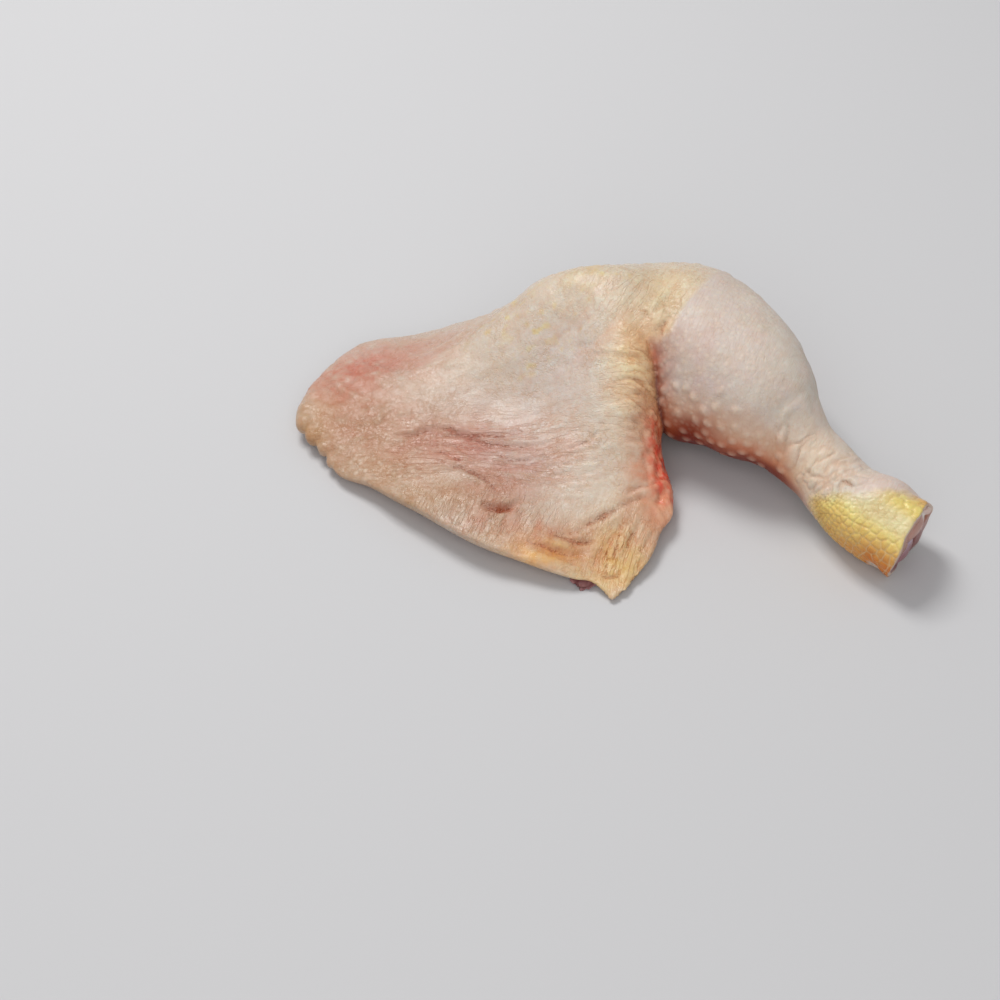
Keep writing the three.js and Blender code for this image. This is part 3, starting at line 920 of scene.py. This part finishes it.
# Middle x, y, spread x, y, strength, how ragged, colour.
STAINS = (
    (15, 62, 40, 24, 0.6, 0.2, tint(222, 208, 190)),
    (-34, 60, 30, 14, 0.75, 0.4, tint(208, 168, 152)),
    (-50, 54, 17, 10, 0.75, 0.9, tint(206, 130, 112)),
    (-58, 42, 9, 12, 0.7, 0.9, tint(204, 128, 106)),
    (-66, 27, 10, 15, 0.85, 0.3, tint(190, 150, 104)),
    (-45, 26, 22, 18, 0.8, 0.3, tint(184, 139, 106)),
    (-40, 8, 22, 14, 0.8, 0.4, tint(184, 143, 104)),
    (-22, -10, 28, 10, 0.8, 0.3, tint(188, 150, 114)),
    (-10, 16, 30, 11, 0.75, 0.6, tint(198, 150, 134)),
    (12, 6, 22, 12, 0.7, 0.5, tint(196, 158, 148)),
    (-12, 32, 18, 10, 0.5, 0.3, tint(202, 176, 162)),
    (10, 50, 30, 14, 0.6, 0.2, tint(227, 214, 194)),
    (0, -10, 14, 8, 0.6, 0.5, tint(198, 150, 130)),
    (34, 24, 20, 26, 0.8, 0.3, tint(220, 212, 202)),
    (20, 34, 22, 22, 0.6, 0.3, tint(212, 197, 188)),
    (34, 4, 18, 18, 0.6, 0.3, tint(224, 213, 194)),
    (8, -25, 22, 7, 0.6, 0.5, tint(206, 164, 132)),
    (15, -33, 15, 6, 0.85, 0.5, tint(232, 178, 106)),
    (40, -34, 13, 15, 0.85, 0.3, tint(224, 186, 112)),
    (32, -42, 10, 4, 0.6, 0.3, tint(226, 196, 144)),
    (50, -14, 8, 14, 0.5, 0.4, tint(212, 168, 130)),
    (56, -16, 7, 7, 0.6, 0.4, tint(214, 160, 126)),
    (48, 26, 10, 16, 0.9, 0.3, tint(250, 230, 178)),
    (58, 50, 14, 24, 0.85, 0.3, tint(222, 205, 168)),
    (30, 60, 12, 12, 0.3, 0.8, tint(224, 206, 150)),
)
YELLOW_FLECKS = ((0, 56, 9), (12, 48, 8), (27, 42, 7), (9, 40, 7), (24, 54, 8), (38, 62, 9), (5, 66, 9))

places, normals = places_of(leg), normals_of(leg)
tone = np.tile(CREAM, (len(places), 1))


def between(first, second, share):
    """From the first colour to the second, by a share for each point."""
    share = share[:, None]
    return first * (1 - share) + second * share


def stain(share, colour):
    """Lays a colour over the skin's tone, by a share for each point."""
    global tone
    tone = between(tone, colour, np.clip(share, 0, 1))


clouds = 0.6 * noise(places / 6, 61) + 0.5 * noise(places / 2.6, 62) + 0.6 * noise(places / 1.3, 60)
for x, y, spread_x, spread_y, strength, ragged, colour in STAINS:
    stain(strength * patch(places, x, y, spread_x, spread_y) * (1 + ragged * clouds), colour)
fleck = ease(noise(places / 2.4, 63) + 0.4 * noise(places / 1.2, 64), 0.25, 0.7)
for x, y, spread in YELLOW_FLECKS:
    stain(0.55 * patch(places, x, y, spread, spread * 0.6) * fleck, tint(228, 206, 130))

# Redness gathers in the grooves: partly the skin's own, partly painted warm shade.
redness = patch(places, -8, 8, 34, 18) + patch(places, 10, -24, 26, 12) + patch(places, 50, -4, 12, 20)
redness = np.clip(redness + patch(places, -52, 48, 22, 18), 0, 1)
stain(hollow * (0.2 + 0.5 * redness), tint(200, 132, 110))
stain(hollow * 0.5 * patch(places, 30, -30, 26, 14), tint(204, 138, 78))
stain(hollow * 0.2 * patch(places, 50, 28, 16, 24), tint(224, 172, 112))
stain(valley * np.clip(0.25 + 0.35 * redness, 0, 0.6), tint(186, 96, 72))
stain(valley * 0.38 * patch(places, 48, 28, 14, 22), tint(218, 148, 86))
stain(valley * 0.45 * patch(places, 30, -30, 20, 12), tint(198, 112, 54))
# A dark spot of painted shade in the deep dip of the near fold.
stain(1.1 * patch(places, 0.3, -16, 4, 1.5) * ease(noise(places / 2.1, 74), -0.9, 0.3), tint(176, 98, 64))

bruise = patch(places, 56, 11, 4.5, 8) + patch(places, 58.5, 1, 5, 7) + patch(places, 58.5, -8, 4.5, 6)
ragged = noise(places / 2.6, 65) + 0.7 * noise(places / 1.2, 66)
stain(0.8 * patch(places, 52, 0, 8, 16) * (0.7 + 0.5 * ragged) * (1 - drum), tint(214, 138, 102))
bruise = np.clip(1.2 * bruise, 0, 1) * ease(places[:, 2], 0.5, 3) * (1 - drum)
stain(0.8 * bruise, tint(234, 134, 100))
stain(0.8 * bruise * ease(ragged, -0.35, 0.5), tint(228, 72, 56))
# Pale flecks on the wet bruise are painted glints.
stain(0.6 * bruise * ease(noise(places / 1.1, 79), 0.25, 0.7), tint(240, 186, 162))
lobe = patch(places, 59, -13, 4.5, 5.5)
stain(0.75 * lobe, tint(238, 190, 156))

# The drumstick is pale pink above; its warmer side and deep reddish brown below are painted shade.
drum_tone = between(tint(205, 190, 180), tint(216, 203, 190), ease(places[:, 0], 62, 100))
cloud = noise(places / 7, 67)[:, None]
blush = noise(places / 4.2, 68)[:, None]
drum_tone = drum_tone * (1 + 0.03 * cloud) + np.array((0.01, -0.012, 0.0)) * blush
tone = between(tone, drum_tone, drum)
level = level + 0.08 * noise(places / 5, 77)
above_shank = drum * ease(places[:, 0], 108, 94)
painted_low_shade = ease(level, 0.08, -0.32) * above_shank
stain(0.7 * ease(level, 0.6, 0.05) * above_shank, tint(216, 168, 134))
stain(0.85 * painted_low_shade, tint(206, 116, 74))
# Darker red-brown beside the crease and along the very bottom is painted shadow.
stain(0.75 * drum * patch(places, 70, 18, 9, 14) * ease(level, 0.3, -0.15), tint(146, 58, 34))
stain(0.95 * ease(level, -0.14, -0.52) * above_shank, tint(124, 44, 24))
stain(0.9 * drum * patch(places, 65, 15, 6, 8) * ease(level, 0.3, -0.3), tint(128, 44, 24))
# Warm colour in the ankle's grooves, partly the skin's own and partly painted shade.
stain(0.5 * drum * valley * patch(places, 100, -4, 14, 12), tint(200, 138, 104))
stain(0.7 * patch(places, 95, -3, 4, 3) * facing_up, tint(206, 132, 96))
stain(0.45 * patch(places, 106, -7, 12, 12) * facing_up * (1 - in_band), tint(226, 200, 166))
stain(0.6 * valley * patch(places, 108, -9, 14, 14) * (1 - in_band), tint(208, 150, 106))


def by_crease(reach, knee_end, full_from):
    """1 where thigh and drumstick meet, fading over the reach and towards the knee."""
    meeting = np.exp(-((thigh_distance / reach) ** 2) - (drum_distance / reach) ** 2)
    return meeting * ease(places[:, 1], knee_end, full_from)


# Both sides of the crease are warm; the dark red on the drumstick's side of it and its dark bottom are
# painted shade.
near_crease = by_crease(4.5, 44, 34)
stain(0.5 * near_crease * (1 - drum), tint(222, 154, 100))
stain(0.8 * near_crease * drum, tint(160, 76, 44))
bottom = between(tint(190, 104, 62), tint(104, 38, 26), ease(places[:, 1], 36, 22))
stain(by_crease(1.0, 37, 30), bottom)

# The white back of the hock and the scaly band.
hock = ease(from_band, 6, 16) * ease(angle, 30, -10) * on_shank
stain(0.7 * hock, tint(218, 198, 188))
from_top = ease(np.abs(angle - 20), 20, 80)
toward_cut = ease(from_band, 6, 34)
gold = np.clip(from_top * (0.4 + 0.6 * toward_cut) + 0.12 * noise(places / 3, 69), 0, 1)
band = between(tint(238, 220, 132), tint(206, 120, 36), gold)
band = between(band, tint(220, 208, 172), 0.65 * pale_top)
tone = between(tone, band, in_band * (0.4 + 0.6 * ease(along - band_start, -1, 7)))
stain(0.7 * in_band * ease(angle, 116, 134), tint(228, 190, 164))

# The rim of the cut, raw between the skin and the bone.
raw = np.maximum(facing_cut, (1 - outer) * (places[:, 0] > 118))
skin_edge = ease(drum_distance, -1.6, -0.8)
up_cut = ease((places - CUT_POINT) @ CUT_AXES[2], -8, 9)
tissue = between(tint(148, 96, 96), tint(190, 134, 112), up_cut)
stain(0.95 * raw * (1 - skin_edge), tissue * (1 + 0.12 * noise(places / 1.8, 78))[:, None])
stain(0.8 * facing_cut * skin_edge, tint(226, 204, 184))
# What faces the table or the meat is the pale inner side of the skin.
inner = ease(normals[:, 2], -0.35, -0.8) * ease(places[:, 2], 12, 6) * ease(places[:, 0], 66, 60)
stain(0.5 * inner, tint(206, 160, 140))

# The skin's unevenness is one of warmth more than of brightness.
WARM_CAST = np.array((0.012, 0.045, 0.075))  # how much warmth takes from red, green and blue
warmth = noise(places / 1.2, 70) + 0.8 * noise(places / 3.4, 71) + 0.6 * noise(places / 9, 72)
# The thigh is painted darker towards its left tip, as shade.
painted_tip_shade = ease(places[:, 0], 40, -10)
tone = (0.97 - 0.07 * painted_tip_shade)[:, None] * tone * (1 - WARM_CAST * (warmth * outer)[:, None])
tone = np.clip(tone, 0.01, 0.95)
give(leg, "tone", "FLOAT_COLOR", np.concatenate([tone, np.ones((len(tone), 1))], 1))
give(leg, "fold_gap", "FLOAT", fold_gap)
give(leg, "moist", "FLOAT", np.clip(0.35 * valley + bruise + 0.8 * lobe + raw, 0, 1))
give(leg, "gold", "FLOAT", gold * in_band)
near_edge_dots = np.clip(patch(places, -38, 12, 24, 16) * (0.75 + noise(places / 7, 76)), 0, 1)
drum_dots = 0.55 * drum * above_ankle * (1 - painted_low_shade)
give(leg, "dots", "FLOAT", np.maximum(near_edge_dots * facing_up, drum_dots))
# Where fine lines run: along the thigh, down its near side and over the corner, then by the crease,
# round the knee and down the drumstick.
bare = 1 - in_band
lines_thigh = np.stack([
    patch(places, -4, 8, 40, 17), patch(places, -10, -18, 34, 14), patch(places, 40, -30, 15, 17),
], 1)
lines_leg = np.stack([
    0.8 * patch(places, 46, 22, 16, 18) * (1 - drum),
    0.6 * patch(places, 48, 50, 24, 24) * (1 - drum),
    np.maximum(drum, patch(places, 104, -6, 14, 14)) * bare,
], 1)
give(leg, "lines_thigh", "FLOAT_VECTOR", lines_thigh * facing_up[:, None])
give(leg, "lines_leg", "FLOAT_VECTOR", lines_leg)
for used_up in ("follicle_share", "scale_place", "in_band"):
    leg.data.attributes.remove(leg.data.attributes[used_up])

object_place = skin_nodes.new("ShaderNodeTexCoord").outputs["Object"]


def read(name, output="Fac"):
    node = skin_nodes.new("ShaderNodeAttribute")
    node.attribute_name = name
    return node.outputs[output]


def feed(socket, value):
    if isinstance(value, (int, float, tuple)):
        socket.default_value = value
    else:
        skin_links.new(value, socket)


def mixed(kind, share, first, second):
    node = skin_nodes.new("ShaderNodeMix")
    node.data_type = "RGBA"
    node.blend_type = kind
    feed(node.inputs[0], share)
    feed(node.inputs[6], first)
    feed(node.inputs[7], second)
    return node.outputs[2]


def ranged(value, low, high, to_low, to_high):
    node = skin_nodes.new("ShaderNodeMapRange")
    set_inputs(node, {"From Min": low, "From Max": high, "To Min": to_low, "To Max": to_high})
    skin_links.new(value, node.inputs["Value"])
    return node.outputs["Result"]


def figured(operation, *values):
    node = skin_nodes.new("ShaderNodeMath")
    node.operation = operation
    for i, value in enumerate(values):
        feed(node.inputs[i], value)
    return node.outputs[0]


def grain(scale, detail, rough, place=object_place):
    node = skin_nodes.new("ShaderNodeTexNoise")
    set_inputs(node, {"Scale": scale, "Detail": detail, "Roughness": rough})
    skin_links.new(place, node.inputs["Vector"])
    return node.outputs["Fac"]


def fine_lines(direction, apart, stretch, detail=3):
    """Thin lines that run in one direction seen from above, so many millimetres apart."""
    mapping = skin_nodes.new("ShaderNodeMapping")
    mapping.vector_type = "TEXTURE"
    set_inputs(mapping, {"Rotation": (0, 0, math.radians(direction)), "Scale": (stretch, 1, 1.6)})
    skin_links.new(object_place, mapping.inputs["Vector"])
    level = grain(0.8 / (apart * MM), detail, 0.55, mapping.outputs["Vector"])
    away = figured("ABSOLUTE", figured("SUBTRACT", level, 0.5))
    return ranged(away, 0.0, 0.055, 1.0, 0.0)


def parts_of(name):
    node = skin_nodes.new("ShaderNodeSeparateXYZ")
    skin_links.new(read(name, "Vector"), node.inputs[0])
    return node.outputs


thigh_masks = parts_of("lines_thigh")
leg_masks = parts_of("lines_leg")
line_sets = (
    (thigh_masks[0], fine_lines(-6, 2.0, 7)),
    (thigh_masks[1], fine_lines(70, 1.8, 5)),
    (thigh_masks[2], fine_lines(-106, 2.0, 6)),
    (leg_masks[0], fine_lines(-8, 1.6, 5)),
    (leg_masks[1], fine_lines(58, 2.0, 4)),
)
lines = 0.0
for mask, pattern in line_sets:
    lines = figured("MAXIMUM", lines, figured("MULTIPLY", mask, pattern))
hatching = figured("MULTIPLY", leg_masks[2], fine_lines(66, 0.9, 16, 1))

dot_cells = skin_nodes.new("ShaderNodeTexVoronoi")
set_inputs(dot_cells, {"Scale": 430, "Randomness": 0.8})
skin_links.new(object_place, dot_cells.inputs["Vector"])
dots = figured("MULTIPLY", ranged(dot_cells.outputs["Distance"], 0.15, 0.5, 1.0, 0.0), read("dots"))

# The bottom of each long fold is a dark line of painted shade.
wandering = figured("ADD", read("fold_gap"), ranged(grain(900, 3, 0.6), 0.3, 0.7, -0.5, 0.5))
fold_lines = ranged(wandering, 0.1, 0.85, 1.0, 0.0)
mottle = ranged(grain(380, 5, 0.65), 0.3, 0.7, 0.0, 1.0)
smooth = ranged(leg_masks[2], 0.0, 1.0, 1.0, 0.35)
mottle = figured("ADD", 0.55, figured("MULTIPLY", figured("SUBTRACT", mottle, 0.55), smooth))
mottling = mixed("MIX", mottle, (0.96, 0.88, 0.83, 1), (1.03, 1.07, 1.09, 1))
colour = mixed("MULTIPLY", 1.0, read("tone", "Color"), mottling)
patchy = ranged(grain(60, 3, 0.6), 0.4, 0.62, 0.3, 0.9)
# Fine lines and the drumstick's hatching are darker and warmer in their valleys, partly the skin's own
# colour and partly painted shade.
colour = mixed("MULTIPLY", figured("MULTIPLY", lines, patchy), colour, (0.93, 0.66, 0.54, 1))
colour = mixed("MULTIPLY", figured("MULTIPLY", fold_lines, 0.6), colour, (0.88, 0.5, 0.38, 1))
colour = mixed("MULTIPLY", figured("MULTIPLY", hatching, 0.5), colour, (0.94, 0.86, 0.83, 1))
colour = mixed("MIX", figured("MULTIPLY", dots, 0.4), colour, (0.8, 0.66, 0.52, 1))
# The crumple is darker and warmer in its valleys, partly painted shade.
crumple = ranged(figured("ABSOLUTE", figured("SUBTRACT", grain(420, 4, 0.6), 0.5)), 0.0, 0.06, 1.0, 0.0)
crumple = figured("MULTIPLY", crumple, ranged(grain(90, 3, 0.6), 0.42, 0.62, 0.1, 0.6))
crumple = figured("MULTIPLY", crumple, ranged(leg_masks[2], 0.0, 1.0, 1.0, 0.4))
colour = mixed("MULTIPLY", crumple, colour, (0.98, 0.86, 0.7, 1))
colour = mixed("MIX", ranged(read("pimple"), 0.05, 1.0, 0.0, 0.34), colour, (0.78, 0.64, 0.5, 1))
border = ranged(read("scale_border"), 0.45, 1.0, 0.0, 1.0)
border = figured("MULTIPLY", border, ranged(read("gold"), 0.0, 0.7, 0.28, 0.62))
colour = mixed("MIX", border, colour, (0.82, 0.62, 0.33, 1))
skin_links.new(colour, shader.inputs["Base Color"])

wetness = ranged(grain(160, 3, 0.6), 0.35, 0.65, 0.0, 0.14)
roughness = figured("SUBTRACT", ranged(read("moist"), 0.0, 1.0, 0.36, 0.2), wetness)
roughness = figured("ADD", roughness, ranged(leg_masks[2], 0.0, 1.0, 0.0, 0.2))
skin_links.new(roughness, shader.inputs["Roughness"])
set_inputs(shader, {
    "Subsurface Weight": 0.08,
    "Subsurface Radius": (1.0, 0.4, 0.2),
    "Subsurface Scale": 0.002,
    "Specular IOR Level": 0.45,
})


def pressed(height, strength, depth, before=None):
    node = skin_nodes.new("ShaderNodeBump")
    set_inputs(node, {"Strength": strength, "Distance": depth})
    skin_links.new(height, node.inputs["Height"])
    if before:
        skin_links.new(before, node.inputs["Normal"])
    return node.outputs["Normal"]


surface = pressed(figured("MULTIPLY", grain(1000, 5, 0.65), smooth), 0.6, 0.00035)
surface = pressed(figured("SUBTRACT", 1.0, lines), 0.7, 0.0003, surface)
surface = pressed(figured("SUBTRACT", 1.0, fold_lines), 0.8, 0.0005, surface)
surface = pressed(figured("SUBTRACT", 1.0, hatching), 0.4, 0.00012, surface)
surface = pressed(dots, 0.6, 0.0003, surface)
surface = pressed(figured("SUBTRACT", 1.0, crumple), 0.7, 0.00025, surface)
skin_links.new(surface, shader.inputs["Normal"])
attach(leg, "root")
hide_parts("leg")

# ---- The cut meat under the thigh ----
# A flat layer of dark wet muscle under the skin, with a torn shred that shows below the near edge.
# Its top follows the thigh's at a lower height, and fine hollows run along its fibres.

MEAT_STEP = 1.2
FIBRE_HEIGHT = 0.25
TAG_RAGGED = 1.8
DARK_MEAT = (0.2, 0.065, 0.07, 1)
PALE_MEAT = (0.56, 0.28, 0.28, 1)


def open_meat_field(points):
    return np.maximum(meat_field(points), -points[:, 2])


vertices, quads = net_surface(open_meat_field, (-70, -48, -2), (66, 94, 26), MEAT_STEP)
vertices = settle(vertices, open_meat_field)
vertices[:, 2] = np.maximum(vertices[:, 2], 0)
meat = mesh_object("cut_meat", vertices, quads.tolist())
places, normals = places_of(meat), normals_of(meat)
fibres = wrinkle(ripple(places, 35, 2.4, 8, 81))
push = -FIBRE_HEIGHT * fibres * ease(places[:, 2], 0.2, 1.5)
tag = patch(places, 28.5, -42, 8, 3)
push += TAG_RAGGED * tag * (noise(places / 1.7, 82) - 0.2)
places = places + normals * push[:, None]
places[:, 2] = np.maximum(places[:, 2], 0)
move_to(meat, places)
flesh, flesh_nodes, flesh_links, flesh_shader = new_finish("raw_meat")
flesh_grain = flesh_nodes.new("ShaderNodeTexNoise")
set_inputs(flesh_grain, {"Scale": 260, "Detail": 5})
flesh_place = flesh_nodes.new("ShaderNodeTexCoord").outputs["Object"]
flesh_ramp = flesh_nodes.new("ShaderNodeValToRGB")
dark_end, pale_end = flesh_ramp.color_ramp.elements
dark_end.position, dark_end.color = 0.35, DARK_MEAT
pale_end.position, pale_end.color = 0.72, PALE_MEAT
flesh_links.new(flesh_place, flesh_grain.inputs["Vector"])
flesh_links.new(flesh_grain.outputs["Fac"], flesh_ramp.inputs["Fac"])
flesh_links.new(flesh_ramp.outputs["Color"], flesh_shader.inputs["Base Color"])
flesh_shader.inputs["Roughness"].default_value = 0.28
meat.data.materials.append(flesh)
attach(meat, "root")
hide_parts("thigh_meat")

# ---- The shank bone ----
# The bone ends at the cut in two wet knuckles of lilac gristle that fill the skin, with a groove
# between them and the white stump of a sinew beside the upper one.

BONE_STEP = 0.55
# Unevenness of the bone: size, height and seed.
BONE_UNEVENNESS = ((2.2, 0.14, 91), (0.9, 0.05, 92))
vertices, quads = net_surface(bone_field, (78, -46, 0), (148, 36, 34), BONE_STEP)
bone = mesh_object("bone_end", settle(vertices, bone_field), quads.tolist())
places, normals = places_of(bone), normals_of(bone)
push = sum(height * noise(places / size, seed) for size, height, seed in BONE_UNEVENNESS)
move_to(bone, places + normals * push[:, None])
across = (places - KNUCKLES_MIDDLE) @ CUT_AXES[2] / 4.0
gristle = between(tint(158, 110, 114), tint(190, 142, 128), ease(across, -0.8, 0.9))
# The pale lilac along the groove between the knuckles is partly the gristle's own colour and partly a
# painted highlight.
gristle = between(gristle, tint(202, 180, 206), 0.75 * np.exp(-(across**2) * 5))
gristle = gristle * (1 + 0.08 * noise(places / 2.0, 93))[:, None]
at_end = ease((places - CUT_POINT) @ CUT_NORMAL, -9, -4)
bone_tone = between(tint(206, 176, 156), gristle, at_end)
white = np.exp(-((ball_field(places, SINEW_END, np.full(3, 2.2)) / 1.1) ** 2))
bone_tone = between(bone_tone, tint(232, 224, 216), white)
give(bone, "tone", "FLOAT_COLOR", np.concatenate([bone_tone, np.ones((len(places), 1))], 1))
gristle_finish, gristle_nodes, gristle_links, gristle_shader = new_finish("gristle")
bone_colour = gristle_nodes.new("ShaderNodeAttribute")
bone_colour.attribute_name = "tone"
gristle_links.new(bone_colour.outputs["Color"], gristle_shader.inputs["Base Color"])
set_inputs(gristle_shader, {
    "Roughness": 0.25,
    "Subsurface Weight": 0.2,
    "Subsurface Radius": (1.0, 0.6, 0.5),
    "Subsurface Scale": 0.002,
})
bone.data.materials.append(gristle_finish)
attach(bone, "root")
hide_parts("shank_bone")
